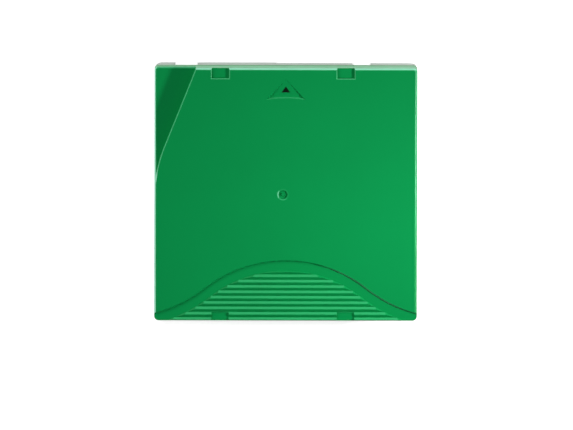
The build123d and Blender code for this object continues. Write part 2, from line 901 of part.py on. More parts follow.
# One face tooth of the driven gear, lying along X, pointing down
with BuildPart() as gear_tooth:
    with BuildSketch(Plane(origin=(gear_inner, 0, gear_root_z), x_dir=(0, 1, 0), z_dir=(1, 0, 0))):
        with BuildLine():
            Polyline(
                (-gear_tooth_width / 2, 0.1),
                (-gear_tooth_width / 2, 0),
                (-gear_tooth_tip / 2, -gear_tooth_height),
                (gear_tooth_tip / 2, -gear_tooth_height),
                (gear_tooth_width / 2, 0),
                (gear_tooth_width / 2, 0.1),
                close=True,
            )
        make_face()
    extrude(amount=gear_face)

# One lock tooth of the hub, pointing up
with BuildPart() as lock_tooth:
    with BuildSketch(Plane(origin=(lock_inner, 0, lock_ring_z), x_dir=(0, 1, 0), z_dir=(1, 0, 0))):
        with BuildLine():
            Polyline(
                (-lock_tooth_width / 2, -0.1),
                (-lock_tooth_width / 2, 0),
                (-lock_tooth_tip / 2, lock_tooth_height),
                (lock_tooth_tip / 2, lock_tooth_height),
                (lock_tooth_width / 2, 0),
                (lock_tooth_width / 2, -0.1),
                close=True,
            )
        make_face()
    extrude(amount=lock_face)

# The same tooth turned over for the brake button
with BuildPart() as brake_tooth:
    with BuildSketch(Plane(origin=(lock_inner, 0, brake_z), x_dir=(0, 1, 0), z_dir=(1, 0, 0))):
        with BuildLine():
            Polyline(
                (-lock_tooth_width / 2, 0.1),
                (-lock_tooth_width / 2, 0),
                (-lock_tooth_tip / 2, -lock_tooth_height),
                (lock_tooth_tip / 2, -lock_tooth_height),
                (lock_tooth_width / 2, 0),
                (lock_tooth_width / 2, 0.1),
                close=True,
            )
        make_face()
    extrude(amount=lock_face)


# Hub with the lower flange, driven gear and lock ring, moulded in one
with BuildPart() as reel_hub:
    with BuildSketch(hub_section):
        with BuildLine():
            Polyline(
                (spider_pin_radius + spider_pin_gap, web_z),
                (gear_inner, web_z),
                (gear_inner, gear_root_z),
                (hub_bore, gear_root_z),
                (hub_bore, flange_z),
                (flange_radius, flange_z),
                (flange_radius, tape_floor_z),
                (hub_radius, tape_floor_z),
                (hub_radius, top_flange_z),
                (hub_bore, top_flange_z),
                (hub_bore, web_top_z),
                (lock_radius + lock_ring_margin, web_top_z),
                (lock_radius + lock_ring_margin, lock_ring_z),
                (lock_inner - lock_ring_margin, lock_ring_z),
                (lock_inner - lock_ring_margin, web_top_z),
                (spider_pin_radius + spider_pin_gap, web_top_z),
                close=True,
            )
        make_face()
    revolve(axis=hub_axis)
    leg_clear = 360 / gear_teeth * 1.5
    for k in range(gear_teeth):
        angle = 360 / gear_teeth * k
        from_leg = angle % (360 / leg_count)
        if min(from_leg, 360 / leg_count - from_leg) > leg_clear:
            with Locations(hub_level(0)):
                with Locations(Rotation(0, 0, angle)):
                    add(gear_tooth.part)
    with Locations(hub_level(0)):
        with PolarLocations(0, lock_teeth):
            add(lock_tooth.part)

    # Stakes that hold the clutch plate
    with BuildSketch(hub_level(web_z)):
        with PolarLocations(stake_circle, stake_count, start_angle=180 / stake_count):
            Circle(stake_radius)
    extrude(amount=-clutch_thickness - stake_gap)

    # Slots through the lock ring for the spider's arms, and holes for its legs
    with BuildSketch(hub_level(web_top_z)):
        with PolarLocations(lock_radius / 2 + lock_inner / 2, leg_count):
            Rectangle(lock_face + 2, spider_arm_width + 2 * spider_arm_gap)
    extrude(amount=lock_ring_rise + lock_tooth_height + 0.1, mode=Mode.SUBTRACT)
    with BuildSketch(hub_level(web_top_z)):
        with PolarLocations(gear_mid, leg_count):
            Rectangle(leg_radial + 2 * leg_gap, leg_width + 2 * leg_gap)
    extrude(amount=-(web_top_z - flange_z), mode=Mode.SUBTRACT)
reel_hub.part.label = "reel_hub"


# Upper flange with the lip that drops into the hub
with BuildPart() as upper_flange:
    with BuildSketch(hub_section):
        lip_outer = hub_bore - weld_gap
        with BuildLine():
            Polyline(
                (lip_outer - flange_lip_thickness, top_flange_z - flange_lip),
                (lip_outer, top_flange_z - flange_lip),
                (lip_outer, top_flange_z),
                (flange_radius, top_flange_z),
                (flange_radius, top_flange_z + upper_flange_thickness),
                (lip_outer - flange_lip_thickness, top_flange_z + upper_flange_thickness),
                close=True,
            )
        make_face()
    revolve(axis=hub_axis)
upper_flange.part.label = "upper_flange"


# The wound tape as one ring
with BuildPart() as tape_pack:
    with BuildSketch(hub_level(tape_z)):
        Circle(tape_radius)
        Circle(hub_radius + winding_gap, mode=Mode.SUBTRACT)
    extrude(amount=tape_width)
tape_pack.part.label = "tape_pack"


# Steel clutch plate under the web
with BuildPart() as clutch_plate:
    with BuildSketch(hub_level(web_z)):
        Circle(gear_inner - clutch_gap)
        Circle(clutch_inner_radius, mode=Mode.SUBTRACT)
        with PolarLocations(stake_circle, stake_count, start_angle=180 / stake_count):
            Circle(stake_radius + stake_gap, mode=Mode.SUBTRACT)
    extrude(amount=-clutch_thickness)
clutch_plate.part.label = "clutch_plate"


# Release spider: a domed centre with a guide pin, three arms and three legs
with BuildPart() as release_spider:
    with BuildSketch(hub_level(spider_z)):
        Circle(spider_center_radius)
        with PolarLocations((gear_mid + leg_radial / 2) / 2, leg_count):
            Rectangle(gear_mid + leg_radial / 2, spider_arm_width)
    extrude(amount=spider_thickness)
    with BuildSketch(hub_level(spider_z)):
        with PolarLocations(gear_mid, leg_count):
            Rectangle(leg_radial, leg_width)
    extrude(amount=leg_tip_z - spider_z)
    with BuildSketch(hub_level(spider_top_z)):
        Circle(spider_dome_radius)
    extrude(amount=brake_z - spider_dome_gap - spider_top_z)
    fillet(release_spider.edges().group_by(Axis.Z)[-1], 0.5)
    with BuildSketch(hub_level(spider_z)):
        Circle(spider_pin_radius)
    extrude(amount=-spider_pin_length)
release_spider.part.label = "release_spider"


# Brake button: toothed plate and a boss with a cross slot
with BuildPart() as brake_button:
    with BuildSketch(hub_level(brake_z)):
        Circle(lock_radius + brake_rim_margin)
    extrude(amount=brake_plate)
    with BuildSketch(hub_level(brake_top_z)):
        Circle(brake_boss_radius)
    extrude(amount=brake_boss_height)
    with Locations(hub_level(0)):
        with PolarLocations(0, lock_teeth, start_angle=180 / lock_teeth):
            add(brake_tooth.part)
    with BuildSketch(hub_level(slot_floor_z)):
        Rectangle(guide_rib_length + 2 * guide_rib_gap, guide_rib_thickness + 2 * guide_rib_gap)
        Rectangle(guide_rib_thickness + 2 * guide_rib_gap, guide_rib_length + 2 * guide_rib_gap)
    extrude(amount=boss_top_z - slot_floor_z, mode=Mode.SUBTRACT)
brake_button.part.label = "brake_button"


# Coil spring that presses the brake button down
with BuildPart() as brake_spring:
    coil_radius = brake_boss_radius + brake_spring_gap + brake_spring_wire / 2
    coil_low = brake_top_z + brake_spring_wire / 2 + spring_seat_gap
    coil_height = ceiling_z - brake_top_z - brake_spring_wire - 2 * spring_seat_gap
    with BuildLine() as brake_coil:
        Helix(coil_height / brake_spring_turns, coil_height, coil_radius, center=(reel_x, 0, coil_low))
    with BuildSketch(Plane(origin=brake_coil.line @ 0, z_dir=brake_coil.line % 0)):
        RegularPolygon(brake_spring_wire / 2, brake_spring_sides)
    sweep(path=brake_coil.line, is_frenet=True)
brake_spring.part.label = "brake_spring"


# Free run of tape from the reel to the pin
with BuildPart() as leader_tape:
    span(
        (pin_x - leader_thickness / 2, pin_x + leader_thickness / 2),
        (0, pin_y - pin_radius - clip_gap),
        (tape_z, tape_z + tape_width),
    )
leader_tape.part.label = "leader_tape"


# Turned leader pin: discs at both ends and a collar at each tape edge
with BuildPart() as leader_pin:
    pin_low = floor_z + pin_end_gap
    pin_high = ceiling_z - pin_end_gap
    with BuildSketch(Plane(origin=(pin_x, pin_y, 0), x_dir=(1, 0, 0), z_dir=(0, -1, 0))):
        with BuildLine():
            Polyline(
                (0, pin_low),
                (pin_disc_radius, pin_low),
                (pin_disc_radius, pin_low + pin_disc),
                (pin_radius, pin_low + pin_disc),
                (pin_radius, tape_z - clip_edge_gap - pin_collar),
                (pin_collar_radius, tape_z - clip_edge_gap - pin_collar),
                (pin_collar_radius, tape_z - clip_edge_gap),
                (pin_radius, tape_z - clip_edge_gap),
                (pin_radius, tape_z + tape_width + clip_edge_gap),
                (pin_collar_radius, tape_z + tape_width + clip_edge_gap),
                (pin_collar_radius, tape_z + tape_width + clip_edge_gap + pin_collar),
                (pin_radius, tape_z + tape_width + clip_edge_gap + pin_collar),
                (pin_radius, pin_high - pin_disc),
                (pin_disc_radius, pin_high - pin_disc),
                (pin_disc_radius, pin_high),
                (0, pin_high),
                close=True,
            )
        make_face()
    revolve(axis=Axis((pin_x, pin_y, 0), (0, 0, 1)))
leader_pin.part.label = "leader_pin"


# Clip that snaps round the pin over the tape's end
with BuildPart() as leader_clip:
    with BuildSketch(Plane.XY.offset(tape_z)):
        with Locations((pin_x, pin_y)):
            Circle(pin_radius + clip_gap + clip_wall)
            Circle(pin_radius + clip_gap, mode=Mode.SUBTRACT)
            Rectangle(
                clip_slot + leader_thickness, 2 * (pin_radius + clip_wall),
                align=(Align.CENTER, Align.MAX), mode=Mode.SUBTRACT,
            )
    extrude(amount=tape_width)
leader_clip.part.label = "leader_clip"


# Leaf springs that hold the pin in its seats, a foot, a bend and a curved end
leaf_low_z = floor_z + leaf_gap
leaf_high_z = ceiling_z - leaf_gap - leaf_height
leaf_foot_y = inner_y - leaf_slot / 2
with BuildPart() as pin_spring_lower:
    with BuildLine(Plane.XY.offset(leaf_low_z + leaf_height / 2)) as lower_leaf:
        FilletPolyline(
            (leaf_x - leaf_foot, leaf_foot_y), (leaf_x, leaf_foot_y), (leaf_x, pin_y), radius=leaf_bend
        )
        CenterArc((pin_x, pin_y), leaf_x - pin_x, 0, -leaf_wrap)
    with BuildSketch(Plane(origin=lower_leaf.line @ 0, x_dir=(0, 0, 1), z_dir=(1, 0, 0))):
        Rectangle(leaf_height, leaf_thickness)
    sweep(path=lower_leaf.line)
pin_spring_lower.part.label = "pin_spring_lower"

with BuildPart() as pin_spring_upper:
    with Locations((0, 0, leaf_high_z - leaf_low_z)):
        add(pin_spring_lower.part)
pin_spring_upper.part.label = "pin_spring_upper"


# Access door: a thin plate with a tab outside and a spring pad inside
with BuildPart() as access_door:
    door_low = floor_z + door_gap
    door_high = ceiling_z - door_gap
    span((door_inner_x, door_outer_x), (door_rear_y, door_front_y), (door_low, door_high))
    span(
        (door_outer_x, door_outer_x + door_tab_rise),
        (tab_front_y - door_tab_width, tab_front_y),
        (middle_z - door_tab_height / 2, middle_z + door_tab_height / 2),
    )
    span(
        (door_spring_x - door_spring_radius, door_outer_x),
        (door_rear_y, door_rear_y + door_pad_length),
        (middle_z - door_pad_height / 2, middle_z + door_pad_height / 2),
    )
    with Locations(Plane(origin=(door_spring_x, door_rear_y, middle_z), z_dir=(0, -1, 0))):
        Cylinder(door_peg_radius, door_peg_length, align=(Align.CENTER, Align.CENTER, Align.MIN))
access_door.part.label = "access_door"


# Coil spring between the post and the door
with BuildPart() as door_spring:
    wind_start = spring_post_y + door_spring_wire / 2 + spring_seat_gap
    wind_length = door_spring_length - door_spring_wire - 2 * spring_seat_gap
    with BuildLine() as door_coil:
        Helix(
            wind_length / door_spring_turns,
            wind_length,
            door_spring_radius - door_spring_wire / 2,
            center=(door_spring_x, wind_start, middle_z),
            direction=(0, 1, 0),
        )
    with BuildSketch(Plane(origin=door_coil.line @ 0, z_dir=door_coil.line % 0)):
        RegularPolygon(door_spring_wire / 2, door_spring_sides)
    sweep(path=door_coil.line, is_frenet=True)
door_spring.part.label = "door_spring"


# Write-protect switch: a plate behind the wall and a ridged button in the window
with BuildPart() as write_protect_switch:
    span(
        (switch_x - switch_plate_margin, switch_x + switch_button_width + switch_plate_margin),
        (switch_plate_y, switch_plate_y + switch_plate),
        (switch_low_z, switch_high_z),
    )
    span(
        (switch_x, switch_x + switch_button_width),
        (-half_y + switch_recess, switch_plate_y + switch_plate / 2),
        (window_z + switch_gap, window_top_z - switch_gap),
    )
    with BuildSketch(Plane.XY.offset(window_z + switch_gap)):
        with Locations((switch_x + switch_button_width / 2, -half_y + switch_recess)):
            with GridLocations(3 * switch_ridge, 1, 3, 1):
                Rectangle(switch_ridge, 2 * switch_ridge)
    extrude(amount=switch_window_height - 2 * switch_gap, mode=Mode.SUBTRACT)
write_protect_switch.part.label = "write_protect_switch"


# Memory board with its chip and antenna track on the inner face
board_turn = 1 / sqrt(2)
board_seat = Plane(
    origin=(board_x, -inner_y + board_foot_gap + board_drop / 2, board_low_z + board_drop / 2),
    x_dir=(1, 0, 0),
    z_dir=(0, board_turn, board_turn),
)
with BuildPart() as memory_board:
    with BuildSketch(board_seat):
        Rectangle(board_width, board_length)
    extrude(amount=board_thickness)
memory_board.part.label = "memory_board"

with BuildPart() as memory_antenna:
    with BuildSketch(board_seat.offset(board_thickness)):
        Rectangle(board_width - 2 * antenna_margin, board_length - 2 * antenna_margin)
        Rectangle(
            board_width - 2 * antenna_margin - 2 * antenna_width,
            board_length - 2 * antenna_margin - 2 * antenna_width,
            mode=Mode.SUBTRACT,
        )
    extrude(amount=antenna_thickness)
memory_antenna.part.label = "memory_antenna"

with BuildPart() as memory_chip:
    with BuildSketch(board_seat.offset(board_thickness)):
        Rectangle(chip_size, chip_size)
    extrude(amount=chip_thickness)
memory_chip.part.label = "memory_chip"


export_step(top_shell.part, "parts/top_shell.step")
export_step(bottom_shell.part, "parts/bottom_shell.step")
export_step(case_screws.part, "parts/case_screws.step")
export_step(reel_hub.part, "parts/reel_hub.step")
export_step(upper_flange.part, "parts/upper_flange.step")
export_step(tape_pack.part, "parts/tape_pack.step")
export_step(clutch_plate.part, "parts/clutch_plate.step")
export_step(release_spider.part, "parts/release_spider.step")
export_step(brake_button.part, "parts/brake_button.step")
export_step(brake_spring.part, "parts/brake_spring.step")
export_step(leader_tape.part, "parts/leader_tape.step")
export_step(leader_pin.part, "parts/leader_pin.step")
export_step(leader_clip.part, "parts/leader_clip.step")
export_step(pin_spring_lower.part, "parts/pin_spring_lower.step")
export_step(pin_spring_upper.part, "parts/pin_spring_upper.step")
export_step(access_door.part, "parts/access_door.step")
export_step(door_spring.part, "parts/door_spring.step")
export_step(write_protect_switch.part, "parts/write_protect_switch.step")
export_step(memory_board.part, "parts/memory_board.step")
export_step(memory_antenna.part, "parts/memory_antenna.step")
export_step(memory_chip.part, "parts/memory_chip.step")
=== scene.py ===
import bpy
import bmesh
from math import cos, pi, radians, sin
from mathutils import Matrix, Vector


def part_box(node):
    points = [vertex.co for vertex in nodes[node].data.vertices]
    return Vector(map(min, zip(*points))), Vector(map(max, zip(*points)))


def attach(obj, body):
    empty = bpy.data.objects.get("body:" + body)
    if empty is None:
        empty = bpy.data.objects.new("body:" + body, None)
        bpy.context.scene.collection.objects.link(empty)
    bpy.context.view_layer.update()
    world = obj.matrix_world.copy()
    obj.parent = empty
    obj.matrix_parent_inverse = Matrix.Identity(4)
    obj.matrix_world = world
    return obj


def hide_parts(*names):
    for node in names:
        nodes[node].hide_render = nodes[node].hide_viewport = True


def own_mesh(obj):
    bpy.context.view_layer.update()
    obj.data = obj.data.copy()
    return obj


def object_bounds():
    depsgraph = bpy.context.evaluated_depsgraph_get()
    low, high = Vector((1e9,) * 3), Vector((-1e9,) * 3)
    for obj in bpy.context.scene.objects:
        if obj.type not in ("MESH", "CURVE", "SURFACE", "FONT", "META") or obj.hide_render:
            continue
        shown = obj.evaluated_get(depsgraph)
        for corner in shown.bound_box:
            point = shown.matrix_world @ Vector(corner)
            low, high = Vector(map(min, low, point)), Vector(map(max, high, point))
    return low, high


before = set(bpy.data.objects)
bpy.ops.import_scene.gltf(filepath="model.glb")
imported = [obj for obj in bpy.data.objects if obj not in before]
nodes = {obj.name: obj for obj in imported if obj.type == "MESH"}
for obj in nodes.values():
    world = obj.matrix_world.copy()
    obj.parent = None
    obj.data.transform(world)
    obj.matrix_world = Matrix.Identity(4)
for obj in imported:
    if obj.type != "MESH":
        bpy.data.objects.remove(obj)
cad_low, cad_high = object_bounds()

# The top shell is the upper half of the case, one injection moulding in green ABS. Spark
# eroded mould faces make it matt with an even grain, and its rims were left smooth.
GREEN_ABS = "#00934A"
# The two paler greens are painted highlights and reflections on the top shell, not colours of the plastic
GREEN_HALF_HIGHLIGHT = "#38BC77"
GREEN_PAINTED_HIGHLIGHT = "#A2F4D0"
side_edge = cad_high[0]
top_face, guide_floor = 0.0215, 0.0165
front_rim, grip_front = 0.0486, -0.03
reel_x = -0.0011
gate_edge, gate_highlight_edge = 0.00175, 0.0025


def linear(hex_code):
    """An sRGB hex colour as linear red, green, blue and alpha"""
    parts = [int(hex_code[i : i + 2], 16) / 255 for i in (1, 3, 5)]
    return [c / 12.92 if c <= 0.04045 else ((c + 0.055) / 1.055) ** 2.4 for c in parts] + [1.0]


def add_node(tree, kind, settings=None, **inputs):
    """A shader node with its settings. An input is named, or _0, _1 by place, and takes a
    value, a socket, or a node whose first output it is linked to"""
    made = tree.nodes.new(kind)
    for name, value in (settings or {}).items():
        setattr(made, name, value)
    for name, value in inputs.items():
        socket = made.inputs[int(name[1:])] if name[0] == "_" else made.inputs[name.replace("_", " ")]
        if isinstance(value, bpy.types.Node):
            value = value.outputs[0]
        if isinstance(value, bpy.types.NodeSocket):
            tree.links.new(value, socket)
        else:
            socket.default_value = value
    return made


def new_finish(name):
    """An empty material and its node tree"""
    made = bpy.data.materials.new(name)
    made.use_nodes = True
    made.node_tree.nodes.clear()
    return made, made.node_tree


def wear_and_highlight_share(tree, bands):
    """How pale each place turns: the most that any band gives, from real use on most mouldings and as painted
    highlight on the top shell. A band is a share and its limits, and a limit is a value with the two numbers
    between which it fades in"""
    most = 0.0
    for share, limits in bands:
        for value, none, full in limits:
            passed = add_node(
                tree, "ShaderNodeMapRange", {"interpolation_type": "SMOOTHSTEP"},
                Value=value, From_Min=none, From_Max=full,
            )
            share = add_node(tree, "ShaderNodeMath", {"operation": "MULTIPLY"}, _0=share, _1=passed)
        most = add_node(tree, "ShaderNodeMath", {"operation": "MAXIMUM"}, _0=most, _1=share)
    return most


def edge_wear(tree, place, facing):
    """Bands of paler edges on a small moulding, from use: every rounded or sloping edge, a little"""
    return [
        (0.25, [(facing["Z"], 0.3, 0.5), (facing["Z"], 0.985, 0.94)]),
        (0.25, [(facing["Z"], -0.3, -0.5), (facing["Z"], -0.985, -0.94)]),
    ]


def shell_painted_highlights(tree, place, facing):
    """Bands of painted highlight on the top shell: its rims, front edge, arrow wall, rib flanks and side
    edges and a crescent by the gate mark, a painted reflection on its front wall, and painted light on the
    shaded grip slope
    """
    spot = add_node(tree, "ShaderNodeSeparateXYZ", Vector=place).outputs
    on_slope = [(facing["Z"], 0.6, 0.68), (facing["Z"], 0.985, 0.94)]
    leading = [(facing["Y"], 0.3, 0.55)]
    ahead = [(spot["Y"], grip_front, 0.0)]
    behind = [(spot["Y"], grip_front, grip_front - 0.004)]
    at_front = [(spot["Y"], front_rim - 0.0006, front_rim + 0.0006)]
    top_rim, guide_rim = [
        [(spot["Z"], level - 0.0003, level - 0.0002), (spot["Z"], level + 0.0002, level + 0.0001)]
        for level in (top_face, guide_floor)
    ]
    front_edge = [(spot["Z"], top_face - 0.0012, top_face - 0.0009)]
    front_edge += [(facing["Z"], 0.2, 0.3), (facing["Z"], 0.985, 0.94)]
    front_wall = [(spot["Z"], 0.0135, 0.0145), (facing["Y"], 0.8, 0.9)]
    arrow_wall = [(facing["Z"], 0.35, 0.5), (facing["Z"], 0.72, 0.64)]
    rib_flank = [(facing["Z"], 0.7, 0.75), (facing["Z"], 0.92, 0.88)]
    grip_slope = [(facing["Z"], 0.6, 0.66), (facing["Z"], 0.8, 0.76), (spot["Y"], -0.02, -0.024)]
    facing_from_key = [(facing["X"], -0.15, -0.3), (facing["Y"], -0.05, -0.15)]
    left_edge = [(facing["X"], -0.3, -0.5), (facing["Z"], 0.02, 0.15)]
    left_edge += [(spot["X"], 0.0014 - side_edge, 0.001 - side_edge)]
    right_edge = [(facing["X"], 0.6, 0.75), (facing["Z"], 0.02, 0.15)]
    right_edge += [(spot["X"], side_edge - 0.0014, side_edge - 0.001)]
    # Painted highlight by the gate mark: a paler ring beside it, strongest to its left and rear
    from_gate = add_node(
        tree, "ShaderNodeVectorMath", {"operation": "DISTANCE"}, _0=place, _1=(reel_x, 0.0, top_face)
    ).outputs["Value"]
    gate_highlight = [(from_gate, gate_highlight_edge, gate_highlight_edge - 0.0004), (from_gate, gate_edge, gate_edge + 0.0001)]
    to_left = [(spot["X"], reel_x - 0.0012, reel_x - 0.0018)]
    to_rear = [(spot["Y"], -0.0012, -0.0018)]
    return [
        # Painted highlight lines along the rims of the top face and of the guide recess
        (0.45, top_rim + on_slope + ahead),
        (0.42, guide_rim + on_slope + ahead),
        # Painted highlight on the front edge's fillet, and a painted reflection of the white table on the
        # front wall below it
        (1.0, front_edge + leading + at_front),
        (0.3, front_wall + at_front),
        # Painted highlight on the arrow recess's wall and the rib flanks that face the front
        (0.25, arrow_wall + leading + ahead),
        (0.2, rib_flank + leading + behind),
        # Painted light on the grip's slope where it faces away from the key lamp and lies in shade
        (0.5, grip_slope + facing_from_key),
        # Painted highlight on the side edges' fillets: strong at the left, faint at the right
        (1.0, left_edge),
        (0.1, right_edge),
        # Painted highlight round the gate mark, strongest to its left and rear
        (0.06, gate_highlight),
        (0.25, gate_highlight + to_rear),
        (0.6, gate_highlight + to_left),
    ]


def moulded_plastic(
    name, colour, pale_worn_and_lit_colour, roughness, specular=0.5, worn_and_lit_bands=edge_wear, midway_worn_and_lit_colour=None, grain_mm=0.4, grain_um=18
):
    """Moulded plastic: even grained faces with slow flow marks, and smoother, paler places from the bands:
    edges paled by use on most mouldings, painted highlights on the top shell
    """
    made, tree = new_finish(name)
    place = add_node(tree, "ShaderNodeTexCoord").outputs["Object"]
    # Flow marks of the melt, about 40 mm long, and the grain of the mould
    marks = add_node(tree, "ShaderNodeTexNoise", Vector=place, Scale=25.0, Detail=3.0, Roughness=0.5)
    tone = add_node(
        tree, "ShaderNodeMapRange", Value=marks, From_Min=0.3, From_Max=0.7, To_Min=0.97, To_Max=1.03
    )
    grain = add_node(
        tree, "ShaderNodeTexNoise", Vector=place, Scale=1000 / grain_mm, Detail=2.0, Roughness=0.6
    )
    outward = add_node(tree, "ShaderNodeNewGeometry").outputs["Normal"]
    facing = add_node(tree, "ShaderNodeSeparateXYZ", Vector=outward).outputs
    # How pale each place is: edges paled by use on most mouldings, painted highlights and painted light on
    # the top shell
    wear_and_highlight_amount = wear_and_highlight_share(tree, worn_and_lit_bands(tree, place, facing))
    wear_and_highlight_colour_ramp = add_node(tree, "ShaderNodeValToRGB", Fac=wear_and_highlight_amount)
    wear_and_highlight_colour_ramp.color_ramp.elements[0].color = linear(colour)
    wear_and_highlight_colour_ramp.color_ramp.elements[1].color = linear(pale_worn_and_lit_colour)
    if midway_worn_and_lit_colour:
        wear_and_highlight_colour_ramp.color_ramp.elements.new(0.35).color = linear(midway_worn_and_lit_colour)
    shade = add_node(tree, "ShaderNodeCombineColor", _0=tone, _1=tone, _2=tone)
    paint = add_node(
        tree, "ShaderNodeMix", {"data_type": "RGBA", "blend_type": "MULTIPLY"}, _0=1.0, _6=wear_and_highlight_colour_ramp, _7=shade
    ).outputs[2]
    matt = add_node(
        tree, "ShaderNodeMapRange", Value=grain,
        From_Min=0.3, From_Max=0.7, To_Min=roughness - 0.04, To_Max=roughness + 0.04,
    )
    polish = add_node(tree, "ShaderNodeMath", {"operation": "MULTIPLY"}, _0=wear_and_highlight_amount, _1=roughness - 0.24)
    gloss = add_node(tree, "ShaderNodeMath", {"operation": "SUBTRACT"}, _0=matt, _1=polish)
    bump = add_node(tree, "ShaderNodeBump", Strength=0.6, Distance=grain_um / 1e6, Height=grain)
    skin = add_node(
        tree, "ShaderNodeBsdfPrincipled", Base_Color=paint, Roughness=gloss, IOR=1.53,
        Specular_IOR_Level=specular, Normal=bump,
    )
    add_node(tree, "ShaderNodeOutputMaterial", Surface=skin)
    return made


def dress(finish, *names):
    """Gives CAD nodes their finish"""
    for name in names:
        piece = nodes[name].data
        piece.materials.clear()
        piece.materials.append(finish)
        for face in piece.polygons:
            face.material_index = 0


# Matt green with a faint mottle, smoother on its rims, and painted pale mint as highlights on its edges,
# rims, rib flanks and gate mark, as a painted reflection on its front wall, and as painted light on the
# shaded grip slope
green_abs = moulded_plastic(
    "green ABS, spark-eroded faces and smooth rims",
    GREEN_ABS, GREEN_PAINTED_HIGHLIGHT, 0.44, specular=0.16, worn_and_lit_bands=shell_painted_highlights, midway_worn_and_lit_colour=GREEN_HALF_HIGHLIGHT,
)
dress(green_abs, "top_shell")

# The insertion arrow is a small solid triangle on the sloping floor of the arrow recess.
# It is pad printed in black ink: a matt film thinner than a hair over the plastic's grain.
INK_BLACK = "#06180D"
recess_apex, recess_base, recess_drop = 46.7, 38.3, 0.75
arrow_tip, arrow_foot, arrow_half = 43.7, 41.2, 1.75
ink_film = 0.012
mm = 0.001


def piece_from(bm, name, finish, body):
    """A finished mesh as a named object that rides on a body"""
    shape = bpy.data.meshes.new(name)
    bm.to_mesh(shape)
    bm.free()
    shape.materials.append(finish)
    made = bpy.data.objects.new(name, shape)
    bpy.context.scene.collection.objects.link(made)
    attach(made, body)
    return made


# Ink dries matt and a little patchy, with specks 0.3 mm across, so it hardly shines
ink, tree = new_finish("black pad-printing ink, matt")
place = add_node(tree, "ShaderNodeTexCoord").outputs["Object"]
speckle = add_node(tree, "ShaderNodeTexNoise", Vector=place, Scale=1000 / 0.3, Detail=2.0)
patchy = add_node(tree, "ShaderNodeMapRange", Value=speckle, To_Min=0.5, To_Max=0.7)
bump = add_node(tree, "ShaderNodeBump", Strength=0.5, Distance=8e-6, Height=speckle)
film = add_node(
    tree, "ShaderNodeBsdfPrincipled", Base_Color=linear(INK_BLACK), Roughness=patchy,
    Specular_IOR_Level=0.1, Normal=bump,
)
add_node(tree, "ShaderNodeOutputMaterial", Surface=film)

bm = bmesh.new()
bmesh.ops.create_circle(bm, cap_ends=True, segments=3, radius=1.0)
for vert in bm.verts:
    at_tip = vert.co.y > 0.6
    vert.co.y = arrow_tip if at_tip else arrow_foot
    vert.co.x = 0.0 if at_tip else (arrow_half if vert.co.x > 0 else -arrow_half)
    fall = recess_drop * (recess_apex - vert.co.y) / (recess_apex - recess_base)
    vert.co.z = top_face / mm - fall + ink_film
bmesh.ops.scale(bm, verts=bm.verts, vec=(mm, mm, mm))
bm.normal_update()
for face in bm.faces:
    if face.normal.z < 0:
        face.normal_flip()
printed_arrow = piece_from(bm, "printed_arrow", ink, "case")

# The bottom shell is the lower half of the case, moulded in light grey ABS of the same
# grain. It stands on four small feet, and the reel shows in its round hub opening.
GREY_ABS = "#B4C0B6"
GREY_RUBBED = "#D5DDD6"
# Matt, faintly green grey, a shade paler along its edges
grey_abs = moulded_plastic("light grey ABS, spark-eroded faces", GREY_ABS, GREY_RUBBED, 0.5)
dress(grey_abs, "bottom_shell")

# The access door is a thin grey ABS plate that slides back along the right wall. Its own
# mould was polished so that it runs easily.
DOOR_GREY = "#9CA8A0"
# Polished ABS: a little darker and shinier than the case, with hardly any grain
door_abs = moulded_plastic("grey ABS, polished sliding door", DOOR_GREY, GREY_RUBBED, 0.36, grain_um=3)
dress(door_abs, "access_door")

# The door spring is 0.3 mm spring-steel wire wound on a mandrel. It lies in the right
# wall, pushes the door shut, and squashes along Y as the door opens.
spring_x, spring_z = 50.1, 10.95
spring_rear, spring_front = -19.95, 24.55
door_wire, door_coil = 0.15, 1.05
DRAWN_STEEL = "#B9BCC0"


def bright_steel(name, colour, roughness, lines_mm=(0.2, 0.2, 0.2), depth_um=2):
    """Bare metal with fine tool lines, closest together along the small sides of lines_mm"""
    made, tree = new_finish(name)
    place = add_node(tree, "ShaderNodeTexCoord").outputs["Object"]
    lay = add_node(tree, "ShaderNodeMapping", Vector=place, Scale=[1000 / side for side in lines_mm])
    lines = add_node(tree, "ShaderNodeTexNoise", Vector=lay, Scale=1.0, Detail=3.0, Roughness=0.6)
    base = linear(colour)
    tone = add_node(
        tree, "ShaderNodeMix", {"data_type": "RGBA"}, _0=lines,
        _6=[c * 0.85 for c in base[:3]] + [1.0], _7=[min(1.0, c * 1.1) for c in base[:3]] + [1.0],
    ).outputs[2]
    gloss = add_node(
        tree, "ShaderNodeMapRange", Value=lines,
        From_Min=0.3, From_Max=0.7, To_Min=roughness - 0.06, To_Max=roughness + 0.06,
    )
    bump = add_node(tree, "ShaderNodeBump", Strength=0.5, Distance=depth_um / 1e6, Height=lines)
    metal = add_node(
        tree, "ShaderNodeBsdfPrincipled", Base_Color=tone, Metallic=1.0, Roughness=gloss, Normal=bump
    )
    add_node(tree, "ShaderNodeOutputMaterial", Surface=metal)
    return made


